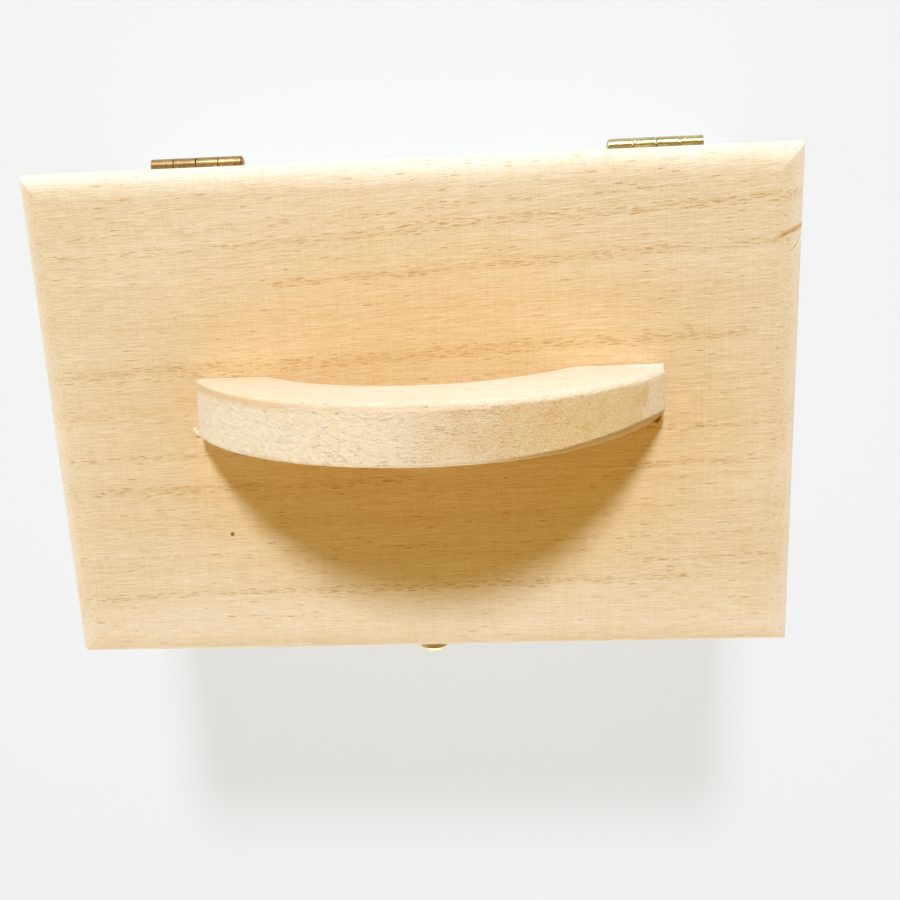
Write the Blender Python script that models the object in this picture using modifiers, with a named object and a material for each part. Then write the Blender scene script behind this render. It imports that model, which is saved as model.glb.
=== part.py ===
"""Small lidded wooden box with a bow handle, two butt hinges and a hook catch.

Frame: +X to the right along the front, +Y towards the hinges, +Z up.
The origin is the centre of the box's underside. All sizes are in metres.
"""

import math

import bmesh
import bpy
from mathutils import Matrix, Vector

# Box
BOX_WIDTH = 0.160
BOX_DEPTH = 0.107
WALL_HEIGHT = 0.066
WALL_THICKNESS = 0.008
BOTTOM_THICKNESS = 0.004
FINGER_COUNT = 5  # odd, so the front and back walls own the top and bottom fingers
EDGE_EASING = 0.0003

# Lid: a straight rim with a quarter-round above it on all four sides
LID_RIM_HEIGHT = 0.004
LID_EDGE_RADIUS = 0.006
LID_EDGE_STEPS = 7

# Handle: a flat bow standing on the lid, with an arched finger gap under it
HANDLE_LENGTH = 0.0974
HANDLE_THICKNESS = 0.012
HANDLE_RISE = 0.032
HANDLE_END_HEIGHT = 0.003  # height of the blunt ends where the outer arc starts
HANDLE_EDGE_EASING = 0.0013
FINGER_GAP_WIDTH = 0.063
FINGER_GAP_RISE = 0.0144
FINGER_GAP_SHIFT = -0.0018  # from the handle's middle to the gap's middle
HANDLE_OFFSET_X = 0.003
HANDLE_OFFSET_Y = 0.0045

# Handle screws, driven up through the lid into the feet
SCREW_LENGTH = 0.018
SCREW_RADIUS = 0.0015
SCREW_HEAD_RADIUS = 0.003
SCREW_HEAD_HEIGHT = 0.0019
SCREW_RECESS_WIDTH = 0.0007
SCREW_RECESS_LENGTH = 0.0034
SCREW_RECESS_DEPTH = 0.001

# Hinges: the leaves lie in mortises between the lid and the back wall
HINGE_LENGTH = 0.0190
KNUCKLE_COUNT = 4
BARREL_RADIUS = 0.0015
BARREL_OVERHANG = 0.002  # how far the barrel stands out behind the box
LEAF_THICKNESS = 0.0008
LEAF_OFFSET = 0.00035  # from the pin's axis to the leaf's near face
LEAF_INNER_MARGIN = 0.001  # wood left between the mortise and the wall's inner face
PIN_RADIUS = 0.0006
PIN_HEAD_RADIUS = 0.0012
PIN_HEAD_FACE_RADIUS = 0.0007
PIN_HEAD_LENGTH = 0.0004
LEFT_HINGE_INSET = 0.0360  # from the box's left end to the hinge's middle
RIGHT_HINGE_INSET = 0.0288
NAIL_LENGTH = 0.0055
NAIL_RADIUS = 0.00055
NAIL_HEAD_RADIUS = 0.0013
NAIL_HEAD_HEIGHT = 0.0006
NAIL_SPACING = 0.012

# Catch: a domed stud in the lid's front rim and a hook that swings on the front wall
CATCH_OFFSET_X = 0.001
CATCH_REACH = 0.0185  # from the hook's pivot to the stud
STUD_HEAD_RADIUS = 0.0034
PIVOT_HEAD_RADIUS = 0.0028
DOME_HEIGHT = 0.002
STUD_RADIUS = 0.0009
STUD_DEPTH = 0.006
HOOK_THICKNESS = 0.0005
HOOK_EYE_RADIUS = 0.0024
HOOK_SHANK_WIDTH = 0.0026
HOOK_HEAD_RADIUS = 0.0033

# Fits
PIECE_GAP = 0.0003  # between pieces that touch
SLOT_CLEARANCE = 0.00045  # hook's slot round the stud's neck
RUNNING_CLEARANCE = 0.0001  # radial, between a pin and its bore
KNUCKLE_GAP = 0.00025
FASTENER_GAP = 0.0002  # round nails in their leaf and their wood

# Facets
ROUND_STEPS = 32
OUTER_ARC_STEPS = 40
INNER_ARC_STEPS = 24
FLAT_ANGLE = 0.001  # faces that meet at less than this are one flat
SMOOTH_ANGLE = math.radians(32)
CORNER_ANGLE = math.radians(50)
MERGE_DISTANCE = 1e-6

# Worked out from the sizes above
HALF_WIDTH = BOX_WIDTH / 2
HALF_DEPTH = BOX_DEPTH / 2
LID_THICKNESS = LID_RIM_HEIGHT + LID_EDGE_RADIUS
LID_BASE_Z = WALL_HEIGHT + PIECE_GAP
LID_TOP_Z = LID_BASE_Z + LID_THICKNESS
AXIS_Y = HALF_DEPTH + BARREL_OVERHANG - BARREL_RADIUS
AXIS_Z = WALL_HEIGHT + PIECE_GAP / 2
HINGE_CENTRES = {"left": -HALF_WIDTH + LEFT_HINGE_INSET, "right": HALF_WIDTH - RIGHT_HINGE_INSET}
LEAF_REACH = AXIS_Y - HALF_DEPTH + WALL_THICKNESS - LEAF_INNER_MARGIN - PIECE_GAP
STUD_STAND_OFF = HOOK_THICKNESS + 2 * PIECE_GAP
STUD_Z = LID_BASE_Z + LID_RIM_HEIGHT / 2
PIVOT_Z = STUD_Z - CATCH_REACH

# Local axes of a flat outline: its x, its y, and the direction of its thickness
FACING_FRONT = Matrix(((1, 0, 0), (0, 0, -1), (0, 1, 0))).to_4x4()
FACING_SIDE = Matrix(((0, 0, 1), (1, 0, 0), (0, 1, 0))).to_4x4()
HEAD_UP = Matrix.Identity(4)
HEAD_DOWN = Matrix.Rotation(math.pi, 4, "X")
HEAD_TO_FRONT = Matrix.Rotation(math.pi / 2, 4, "X")
ALONG_X = Matrix.Rotation(math.pi / 2, 4, "Y")
CUT_OVERRUN = 0.001  # how far a cutter runs past the face that it opens


def clear_scene():
    for old in list(bpy.data.objects):
        bpy.data.objects.remove(old, do_unlink=True)


def new_collection(name):
    collection = bpy.data.collections.new(name)
    bpy.context.scene.collection.children.link(collection)
    return collection


def add_material(piece, colour, roughness, metallic=0.0):
    material = bpy.data.materials.new(piece.name)
    material.use_nodes = True
    shader = material.node_tree.nodes["Principled BSDF"]
    shader.inputs["Base Color"].default_value = (*colour, 1.0)
    shader.inputs["Roughness"].default_value = roughness
    shader.inputs["Metallic"].default_value = metallic
    piece.data.materials.append(material)


def wooden(piece):
    add_material(piece, (0.80, 0.62, 0.38), 0.62)


def brass(piece):
    add_material(piece, (0.66, 0.50, 0.22), 0.32, 1.0)


def steel(piece):
    add_material(piece, (0.60, 0.60, 0.58), 0.35, 1.0)


def place(piece, location, parent=None):
    """Stands a piece at a world location, under its parent if it has one."""
    piece.location = Vector(location) - (parent.location if parent else Vector())
    piece.parent = parent


def mesh_piece(name, form, collection):
    """Makes an object from a bmesh, smooth where its faces meet at a low angle."""
    mesh = bpy.data.meshes.new(name)
    form.to_mesh(mesh)
    form.free()
    mesh.shade_smooth()
    mesh.set_sharp_from_angle(angle=SMOOTH_ANGLE)
    piece = bpy.data.objects.new(name, mesh)
    collection.objects.link(piece)
    return piece


def block_form(size):
    """A box centred on its origin."""
    form = bmesh.new()
    bmesh.ops.create_cube(form, size=1.0)
    bmesh.ops.scale(form, vec=size, verts=form.verts)
    return form


def block(name, size, collection):
    return mesh_piece(name, block_form(size), collection)


def rod(name, radius, length, collection):
    """A cylinder along X, centred on its origin."""
    form = bmesh.new()
    bmesh.ops.create_cone(
        form,
        cap_ends=True,
        segments=ROUND_STEPS,
        radius1=radius,
        radius2=radius,
        depth=length,
        matrix=ALONG_X,
    )
    return mesh_piece(name, form, collection)


def flat_form(name, outlines, thickness, axes):
    """Fills closed outlines, the first with the others as holes, and gives them a thickness."""
    curve = bpy.data.curves.new(name, "CURVE")
    curve.dimensions = "2D"
    curve.fill_mode = "BOTH"
    curve.extrude = thickness / 2
    for outline in outlines:
        spline = curve.splines.new("POLY")
        spline.points.add(len(outline) - 1)
        spline.use_cyclic_u = True
        for point, (along, up) in zip(spline.points, outline):
            point.co = (along, up, 0.0, 1.0)
    holder = bpy.data.objects.new(name + "_outline", curve)
    bpy.context.scene.collection.objects.link(holder)
    evaluated = holder.evaluated_get(bpy.context.evaluated_depsgraph_get())
    mesh = bpy.data.meshes.new_from_object(evaluated)
    bpy.data.objects.remove(holder, do_unlink=True)
    bpy.data.curves.remove(curve)
    form = bmesh.new()
    form.from_mesh(mesh)
    bpy.data.meshes.remove(mesh)
    bmesh.ops.remove_doubles(form, verts=form.verts, dist=MERGE_DISTANCE)
    bmesh.ops.dissolve_limit(form, angle_limit=FLAT_ANGLE, verts=form.verts, edges=form.edges)
    bmesh.ops.transform(form, matrix=axes, verts=form.verts)
    bmesh.ops.recalc_face_normals(form, faces=form.faces)
    return form


def turned(name, profile, axes, collection):
    """Spins a profile of (radius, height) points, listed from the top of the axis to its foot."""
    form = bmesh.new()
    line = [form.verts.new((radius, 0.0, height)) for radius, height in profile]
    for upper, lower in zip(line, line[1:]):
        form.edges.new((upper, lower))
    piece = mesh_piece(name, form, collection)
    piece.rotation_euler = axes.to_euler()
    spin = piece.modifiers.new("Spin", "SCREW")
    spin.axis = "Z"
    spin.steps = ROUND_STEPS
    spin.render_steps = ROUND_STEPS
    spin.use_merge_vertices = True
    spin.merge_threshold = MERGE_DISTANCE
    spin.use_smooth_shade = True
    return piece


def arc(centre, radius, start, end, steps):
    """Points on an arc, with angles in radians and both ends included."""
    angles = [start + (end - start) * step / steps for step in range(steps + 1)]
    return [(centre[0] + radius * math.cos(a), centre[1] + radius * math.sin(a)) for a in angles]


def chord_arc(half_chord, rise, base, steps):
    """An arc from left to right over a chord at height base, with its top rise above that."""
    radius = (half_chord**2 + rise**2) / (2 * rise)
    middle = base + rise - radius
    side = math.asin(half_chord / radius)
    return arc((0.0, middle), radius, math.pi / 2 + side, math.pi / 2 - side, steps)


def cut(piece, cutter):
    """Cuts a piece with an exact Boolean. The cutter is a wire that isn't rendered."""
    cutter.display_type = "WIRE"
    cutter.hide_render = True
    boolean = piece.modifiers.new(cutter.name, "BOOLEAN")
    boolean.operation = "DIFFERENCE"
    boolean.object = cutter
    boolean.solver = "EXACT"


def ease_edges(form, edges, width, steps=1):
    """Rounds chosen edges of a bmesh."""
    bmesh.ops.bevel(form, geom=edges, offset=width, segments=steps, profile=0.5, affect="EDGES")


def ease_piece(piece, width):
    """Chamfers every corner that a piece has after the cuts made so far."""
    bevel = piece.modifiers.new("Ease", "BEVEL")
    bevel.width = width
    bevel.segments = 1
    bevel.limit_method = "ANGLE"
    bevel.angle_limit = CORNER_ANGLE


def cut_fingers(wall, axis, length, levels, cutters):
    """Notches both ends of a wall at the given finger levels. axis is 0 for X and 1 for Y."""
    level_height = WALL_HEIGHT / FINGER_COUNT
    depth = WALL_THICKNESS + PIECE_GAP
    for level in levels:
        low = level * level_height - (PIECE_GAP / 2 if level > 0 else CUT_OVERRUN)
        high = (level + 1) * level_height + (PIECE_GAP / 2 if level < FINGER_COUNT - 1 else CUT_OVERRUN)
        for sign in (-1, 1):
            size = [2 * WALL_THICKNESS, 2 * WALL_THICKNESS, high - low]
            size[axis] = depth + CUT_OVERRUN
            notch = block(wall.name + "_notch", size, cutters)
            where = [wall.location.x, wall.location.y, (low + high) / 2]
            where[axis] = sign * (length / 2 - (depth - CUT_OVERRUN) / 2)
            place(notch, where)
            cut(wall, notch)


def make_walls(parts, cutters):
    """Four boards, finger-jointed at the corners."""
    even_levels = range(0, FINGER_COUNT, 2)
    odd_levels = range(1, FINGER_COUNT, 2)
    middle_x = HALF_WIDTH - WALL_THICKNESS / 2
    middle_y = HALF_DEPTH - WALL_THICKNESS / 2
    long_size = (BOX_WIDTH, WALL_THICKNESS, WALL_HEIGHT)
    short_size = (WALL_THICKNESS, BOX_DEPTH, WALL_HEIGHT)
    layout = {
        "front_wall": (long_size, 0, odd_levels, (0, -middle_y)),
        "back_wall": (long_size, 0, odd_levels, (0, middle_y)),
        "left_wall": (short_size, 1, even_levels, (-middle_x, 0)),
        "right_wall": (short_size, 1, even_levels, (middle_x, 0)),
    }
    walls = {}
    for name, (size, axis, levels, (middle_of_x, middle_of_y)) in layout.items():
        wall = block(name, size, parts)
        place(wall, (middle_of_x, middle_of_y, WALL_HEIGHT / 2))
        cut_fingers(wall, axis, size[axis], levels, cutters)
        ease_piece(wall, EDGE_EASING)
        wooden(wall)
        walls[name] = wall
    return walls


def make_bottom(parts):
    """A board let in between the walls, flush with their lower edges."""
    inset = 2 * (WALL_THICKNESS + PIECE_GAP)
    form = block_form((BOX_WIDTH - inset, BOX_DEPTH - inset, BOTTOM_THICKNESS))
    ease_edges(form, list(form.edges), EDGE_EASING)
    board = mesh_piece("bottom_board", form, parts)
    place(board, (0, 0, BOTTOM_THICKNESS / 2))
    wooden(board)


def make_lid(parts, lid_frame):
    """One board with a quarter-round along its four upper edges, mitred at the corners."""
    form = block_form((BOX_WIDTH, BOX_DEPTH, LID_THICKNESS))
    upper_edges = [edge for edge in form.edges if all(vert.co.z > 0 for vert in edge.verts)]
    ease_edges(form, upper_edges, LID_EDGE_RADIUS, LID_EDGE_STEPS)
    lid = mesh_piece("lid_board", form, parts)
    place(lid, (0, 0, LID_BASE_Z + LID_THICKNESS / 2), lid_frame)
    wooden(lid)
    return lid


def make_handle(parts, lid_frame):
    """A bow with blunt ends and an arched gap, its long edges eased."""
    half_length = HANDLE_LENGTH / 2
    outer = chord_arc(half_length, HANDLE_RISE - HANDLE_END_HEIGHT, HANDLE_END_HEIGHT, OUTER_ARC_STEPS)
    gap = chord_arc(FINGER_GAP_WIDTH / 2, FINGER_GAP_RISE, 0.0, INNER_ARC_STEPS)
    inner = [(x + FINGER_GAP_SHIFT, z) for x, z in gap]
    outline = [(-half_length, 0.0)] + outer + [(half_length, 0.0)] + inner[::-1]
    form = flat_form("handle", [outline], HANDLE_THICKNESS, FACING_FRONT)
    long_edges = [
        edge
        for edge in form.edges
        if edge.calc_face_angle() > CORNER_ANGLE
        and edge.verts[0].co.y * edge.verts[1].co.y > 0
        and max(vert.co.z for vert in edge.verts) > MERGE_DISTANCE
    ]
    ease_edges(form, long_edges, HANDLE_EDGE_EASING, 2)
    handle = mesh_piece("handle", form, parts)
    place(handle, (HANDLE_OFFSET_X, HANDLE_OFFSET_Y, LID_TOP_Z + PIECE_GAP), lid_frame)
    wooden(handle)
    return handle


def countersunk_profile(head_radius, head_height, shank_radius, length, grow=0.0, overrun=0.0):
    """A flat-headed screw or nail, its head's face at height 0. grow and overrun make its cutter."""
    top = [(0.0, overrun), (head_radius + grow, overrun)] if overrun else [(0.0, 0.0)]
    point = shank_radius + grow
    return top + [
        (head_radius + grow, 0.0),
        (shank_radius + grow, -head_height - grow),
        (shank_radius + grow, -length - grow + point),
        (0.0, -length - grow),
    ]


def make_handle_screws(parts, cutters, lid_frame, lid, handle):
    """Two screws from the lid's underside, one into the middle of each foot."""
    sizes = (SCREW_HEAD_RADIUS, SCREW_HEAD_HEIGHT, SCREW_RADIUS, SCREW_LENGTH)
    foot_middle = (HANDLE_LENGTH + FINGER_GAP_WIDTH) / 4
    recess_size = (SCREW_RECESS_LENGTH, SCREW_RECESS_WIDTH, 2 * SCREW_RECESS_DEPTH)
    for side, sign in (("left", -1), ("right", 1)):
        offset = HANDLE_OFFSET_X + FINGER_GAP_SHIFT / 2 + sign * foot_middle
        where = (offset, HANDLE_OFFSET_Y, LID_BASE_Z)
        screw = turned("handle_screw_" + side, countersunk_profile(*sizes), HEAD_DOWN, parts)
        place(screw, where, lid_frame)
        steel(screw)
        for turn, quarter in (("a", 0.0), ("b", math.pi / 2)):
            recess = block("recess_" + side + "_" + turn, recess_size, cutters)
            recess.rotation_euler = (0, 0, quarter)
            place(recess, where)
            cut(screw, recess)
        hole_profile = countersunk_profile(*sizes, grow=PIECE_GAP, overrun=CUT_OVERRUN)
        hole = turned("screw_hole_" + side, hole_profile, HEAD_DOWN, cutters)
        place(hole, where)
        cut(lid, hole)
        cut(handle, hole)


def leaf_outlines(up):
    """A leaf's section, (y, z) about the pin's axis: the plate, the rolled knuckle and its bore."""
    near = LEAF_OFFSET
    far = LEAF_OFFSET + LEAF_THICKNESS
    start = math.pi - math.asin(far / BARREL_RADIUS)
    end = -math.pi - math.asin(near / BARREL_RADIUS)
    roll = arc((0.0, 0.0), BARREL_RADIUS, start, end, ROUND_STEPS)
    section = [(-LEAF_REACH, near), (-LEAF_REACH, far)] + roll
    bore = arc((0.0, 0.0), PIN_RADIUS + RUNNING_CLEARANCE, 0.0, 2 * math.pi, ROUND_STEPS)[:-1]
    return [[(across, up * height) for across, height in outline] for outline in (section, bore)]


def make_leaf(name, centre_x, up, own_knuckles, holder, parts, cutters, parent):
    """One leaf with its own knuckles. up is 1 for the lid's leaf and -1 for the box's."""
    leaf = mesh_piece(name, flat_form(name, leaf_outlines(up), HINGE_LENGTH, FACING_SIDE), parts)
    place(leaf, (centre_x, AXIS_Y, AXIS_Z), parent)
    brass(leaf)
    pitch = HINGE_LENGTH / KNUCKLE_COUNT
    reach = BARREL_RADIUS + PIECE_GAP
    for index in range(KNUCKLE_COUNT):
        if index in own_knuckles:
            continue
        gap_left = CUT_OVERRUN if index == 0 else KNUCKLE_GAP / 2
        gap_right = CUT_OVERRUN if index == KNUCKLE_COUNT - 1 else KNUCKLE_GAP / 2
        low = -HINGE_LENGTH / 2 + index * pitch - gap_left
        high = -HINGE_LENGTH / 2 + (index + 1) * pitch + gap_right
        notch = block(name + "_notch_" + str(index), (high - low, 2 * reach, 2 * reach), cutters)
        place(notch, (centre_x + (low + high) / 2, AXIS_Y, AXIS_Z))
        cut(leaf, notch)
    sizes = (NAIL_HEAD_RADIUS, NAIL_HEAD_HEIGHT, NAIL_RADIUS, NAIL_LENGTH)
    nail_y = AXIS_Y - (reach + LEAF_REACH) / 2
    facing = HEAD_DOWN if up > 0 else HEAD_UP
    for side, sign in (("left", -1), ("right", 1)):
        where = (centre_x + sign * NAIL_SPACING / 2, nail_y, AXIS_Z + up * LEAF_OFFSET)
        nail = turned(name.replace("leaf", "nail_" + side), countersunk_profile(*sizes), facing, parts)
        place(nail, where, parent)
        brass(nail)
        hole_profile = countersunk_profile(*sizes, grow=FASTENER_GAP, overrun=LEAF_OFFSET)
        hole = turned(nail.name + "_hole", hole_profile, facing, cutters)
        place(hole, where)
        cut(leaf, hole)
        cut(holder, hole)


def make_hinge(side, parts, cutters, lid_frame, lid, back_wall):
    """A butt hinge: two leaves, a pin with a small head, and the mortise for them."""
    centre_x = HINGE_CENTRES[side]
    inward = 1 if side == "left" else -1
    mortise_depth = LEAF_OFFSET + LEAF_THICKNESS + PIECE_GAP
    mortise_length = HINGE_LENGTH + 2 * PIECE_GAP
    mortise_size = (mortise_length, 2 * (LEAF_REACH + PIECE_GAP), 2 * mortise_depth)
    mortise = block(side + "_mortise", mortise_size, cutters)
    place(mortise, (centre_x, AXIS_Y, AXIS_Z))
    relief_length = HINGE_LENGTH + 2 * (PIN_HEAD_LENGTH + PIECE_GAP)
    relief = rod(side + "_barrel_relief", BARREL_RADIUS + PIECE_GAP, relief_length, cutters)
    place(relief, (centre_x, AXIS_Y, AXIS_Z))
    for wood in (lid, back_wall):
        cut(wood, mortise)
        cut(wood, relief)
    lid_knuckles = (0, 2) if side == "left" else (1, 3)
    box_knuckles = tuple(index for index in range(KNUCKLE_COUNT) if index not in lid_knuckles)
    make_leaf(side + "_hinge_lid_leaf", centre_x, 1, lid_knuckles, lid, parts, cutters, lid_frame)
    make_leaf(side + "_hinge_box_leaf", centre_x, -1, box_knuckles, back_wall, parts, cutters, None)
    half = HINGE_LENGTH / 2
    pin_profile = [
        (0.0, half + PIN_HEAD_LENGTH),
        (PIN_HEAD_FACE_RADIUS, half + PIN_HEAD_LENGTH),
        (PIN_HEAD_RADIUS, half + PIN_HEAD_LENGTH / 2),
        (PIN_HEAD_RADIUS, half + KNUCKLE_GAP / 2),
        (PIN_RADIUS, half + KNUCKLE_GAP / 2),
        (PIN_RADIUS, -half),
        (0.0, -half),
    ]
    pin = turned(side + "_hinge_pin", pin_profile, Matrix.Rotation(inward * math.pi / 2, 4, "Y"), parts)
    place(pin, (centre_x, AXIS_Y, AXIS_Z))
    brass(pin)


def dome_profile(head_radius):
    """A domed nail, its wood's face at height 0."""
    sphere = (head_radius**2 + DOME_HEIGHT**2) / (2 * DOME_HEIGHT)
    centre = STUD_STAND_OFF + DOME_HEIGHT - sphere
    side = math.asin(head_radius / sphere)
    dome = arc((0.0, centre), sphere, math.pi / 2, math.pi / 2 - side, ROUND_STEPS // 4)
    dome[0] = (0.0, STUD_STAND_OFF + DOME_HEIGHT)
    return dome + [
        (STUD_RADIUS, STUD_STAND_OFF),
        (STUD_RADIUS, -STUD_DEPTH + STUD_RADIUS),
        (0.0, -STUD_DEPTH),
    ]


def make_stud(name, head_radius, height, holder, parts, cutters, parent):
    """A domed nail in the front, with its hole in the wood that holds it."""
    where = (CATCH_OFFSET_X, -HALF_DEPTH, height)
    stud = turned(name, dome_profile(head_radius), HEAD_TO_FRONT, parts)
    place(stud, where, parent)
    brass(stud)
    hole_radius = STUD_RADIUS + PIECE_GAP
    hole_profile = [
        (0.0, CUT_OVERRUN),
        (hole_radius, CUT_OVERRUN),
        (hole_radius, -STUD_DEPTH - PIECE_GAP),
        (0.0, -STUD_DEPTH - PIECE_GAP),
    ]
    hole = turned(name + "_hole", hole_profile, HEAD_TO_FRONT, cutters)
    place(hole, where)
    cut(holder, hole)


def make_hook(parts):
    """A stamped hook that hangs from its pivot. Turned half round it closes on the lid's stud."""
    half_shank = HOOK_SHANK_WIDTH / 2
    slot = STUD_RADIUS + SLOT_CLEARANCE
    eye_side = math.acos(half_shank / HOOK_EYE_RADIUS)
    head = (0.0, CATCH_REACH)
    tip = math.pi - math.asin(slot / HOOK_HEAD_RADIUS)
    heel = -math.acos(half_shank / HOOK_HEAD_RADIUS)
    latched = arc((0.0, 0.0), HOOK_EYE_RADIUS, eye_side, -math.pi - eye_side, ROUND_STEPS)
    latched += [(-half_shank, CATCH_REACH - slot)]
    latched += arc(head, slot, -math.pi / 2, math.pi / 2, ROUND_STEPS // 2)
    latched += arc(head, HOOK_HEAD_RADIUS, tip, heel, ROUND_STEPS)
    hanging = [(-along, -up) for along, up in latched]
    bore = arc((0.0, 0.0), STUD_RADIUS + RUNNING_CLEARANCE, 0.0, 2 * math.pi, ROUND_STEPS)[:-1]
    form = flat_form("catch_hook", [hanging, bore], HOOK_THICKNESS, FACING_FRONT)
    hook = mesh_piece("catch_hook", form, parts)
    place(hook, (CATCH_OFFSET_X, -HALF_DEPTH - PIECE_GAP - HOOK_THICKNESS / 2, PIVOT_Z))
    brass(hook)


def main():
    clear_scene()
    parts = new_collection("lidded_wooden_box")
    cutters = new_collection("cutters")
    lid_frame = bpy.data.objects.new("lid_frame", None)
    parts.objects.link(lid_frame)
    lid_frame.location = (0, AXIS_Y, AXIS_Z)
    walls = make_walls(parts, cutters)
    make_bottom(parts)
    lid = make_lid(parts, lid_frame)
    handle = make_handle(parts, lid_frame)
    make_handle_screws(parts, cutters, lid_frame, lid, handle)
    for side in HINGE_CENTRES:
        make_hinge(side, parts, cutters, lid_frame, lid, walls["back_wall"])
    make_stud("catch_stud", STUD_HEAD_RADIUS, STUD_Z, lid, parts, cutters, lid_frame)
    make_stud("hook_pivot_nail", PIVOT_HEAD_RADIUS, PIVOT_Z, walls["front_wall"], parts, cutters, None)
    make_hook(parts)


main()
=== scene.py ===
import math
import bmesh
import bpy
from mathutils import Matrix, Vector, noise


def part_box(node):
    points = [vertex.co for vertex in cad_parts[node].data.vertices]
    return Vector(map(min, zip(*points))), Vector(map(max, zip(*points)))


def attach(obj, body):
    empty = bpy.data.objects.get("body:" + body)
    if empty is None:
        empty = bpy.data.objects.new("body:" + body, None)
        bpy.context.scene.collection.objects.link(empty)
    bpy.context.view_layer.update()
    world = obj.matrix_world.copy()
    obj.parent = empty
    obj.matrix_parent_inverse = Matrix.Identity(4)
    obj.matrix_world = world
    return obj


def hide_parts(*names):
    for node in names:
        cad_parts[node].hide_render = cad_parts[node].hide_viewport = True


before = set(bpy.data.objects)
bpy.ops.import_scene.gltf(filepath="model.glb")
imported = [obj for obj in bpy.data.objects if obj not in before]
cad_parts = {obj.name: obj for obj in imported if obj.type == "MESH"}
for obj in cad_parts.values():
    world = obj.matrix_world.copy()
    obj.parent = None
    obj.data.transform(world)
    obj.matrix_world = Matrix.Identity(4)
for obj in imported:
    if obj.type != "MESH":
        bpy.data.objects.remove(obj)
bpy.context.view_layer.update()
print("frame loaded:", len(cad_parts), "nodes")

mm = 0.001
scene = bpy.context.scene


# shader trees work in millimetres; a value in them is a plain number or another node's output
def feed(tree, socket, value):
    if isinstance(value, bpy.types.NodeSocket):
        tree.links.new(value, socket)
    elif isinstance(value, (tuple, list)) and socket.type == "RGBA":
        socket.default_value = (*value[:3], 1.0)
    else:
        socket.default_value = value


def addNode(tree, kind, inputs=None, **settings):
    node = tree.nodes.new(kind)
    for name, value in settings.items():
        setattr(node, name, value)
    for name, value in (inputs or {}).items():
        feed(tree, node.inputs[name], value)
    return node


def number(tree, operation, *values, clamp=False):
    node = addNode(tree, "ShaderNodeMath", operation=operation, use_clamp=clamp)
    for socket, value in zip(node.inputs, values):
        feed(tree, socket, value)
    return node.outputs[0]


def times(tree, product, *others):
    for other in others:
        product = number(tree, "MULTIPLY", product, other)
    return product


# value * factor + rest
def scaled(tree, value, factor, rest, clamp=False):
    return number(tree, "MULTIPLY_ADD", value, factor, rest, clamp=clamp)


def distance(tree, value, middle):
    return number(tree, "ABSOLUTE", number(tree, "SUBTRACT", value, middle))


def vector(tree, operation, *values):
    node = addNode(tree, "ShaderNodeVectorMath", operation=operation)
    for socket, value in zip(node.inputs, values):
        feed(tree, socket, value)
    return node.outputs[0]


# low up to start, high from end, and a soft step between them; start may be the larger one
def fade(tree, value, start, end, low=0.0, high=1.0):
    inputs = {"Value": value, "From Min": start, "From Max": end, "To Min": low, "To Max": high}
    return addNode(tree, "ShaderNodeMapRange", inputs, interpolation_type="SMOOTHSTEP").outputs[0]


def tint(tree, amount, under, over, mode="MIX"):
    node = addNode(tree, "ShaderNodeMix", data_type="RGBA", blend_type=mode)
    for index, value in ((0, amount), (6, under), (7, over)):
        feed(tree, node.inputs[index], value)
    return node.outputs[2]


def ramp(tree, amount, stops):
    node = addNode(tree, "ShaderNodeValToRGB", {"Fac": amount})
    elements = node.color_ramp.elements
    for position, colour in stops[1:-1]:
        elements.new(position).color = (*colour, 1.0)
    for element, (position, colour) in ((elements[0], stops[0]), (elements[-1], stops[-1])):
        element.position = position
        element.color = (*colour, 1.0)
    return node.outputs[0]


def split(tree, place):
    return addNode(tree, "ShaderNodeSeparateXYZ", {"Vector": place}).outputs


def join(tree, *parts):
    node = addNode(tree, "ShaderNodeCombineXYZ")
    for socket, value in zip(node.inputs, parts):
        feed(tree, socket, value)
    return node.outputs[0]


def spread(tree, place, size, shift):
    return vector(tree, "MULTIPLY_ADD", place, tuple(1.0 / side for side in size), shift)


# noise whose blotches are size = (along, across, deep) millimetres
def blotches(tree, place, size, detail=2.0, rough=0.5, seed=0.0):
    inputs = {"Vector": spread(tree, place, size, (seed, seed * 1.7, seed * 0.6)), "Scale": 1.0,
              "Detail": detail, "Roughness": rough}
    return addNode(tree, "ShaderNodeTexNoise", inputs).outputs[0]


# separate stretched specks, one to a cell: how deep inside one a point is, and two random numbers for it
def specks(tree, place, size, start, end, seed=0.0):
    inputs = {"Vector": spread(tree, place, size, (seed, seed * 0.7, seed * 1.3)), "Scale": 1.0,
              "Randomness": 1.0}
    node = addNode(tree, "ShaderNodeTexVoronoi", inputs)
    draws = addNode(tree, "ShaderNodeSeparateColor", {"Color": node.outputs["Color"]}).outputs
    return fade(tree, node.outputs["Distance"], end, start), draws[0], draws[1]


def newFinish(name):
    material = bpy.data.materials.new(name)
    material.use_nodes = True
    tree = material.node_tree
    shader = tree.nodes["Principled BSDF"]
    place = addNode(tree, "ShaderNodeTexCoord").outputs["Object"]
    place = vector(tree, "MULTIPLY", place, (1000.0, 1000.0, 1000.0))     # metres to millimetres
    return material, tree, shader, place


def pressIn(tree, shader, height):
    bump = addNode(tree, "ShaderNodeBump", {"Strength": 1.0, "Distance": mm, "Height": height})
    tree.links.new(bump.outputs["Normal"], shader.inputs["Normal"])


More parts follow.
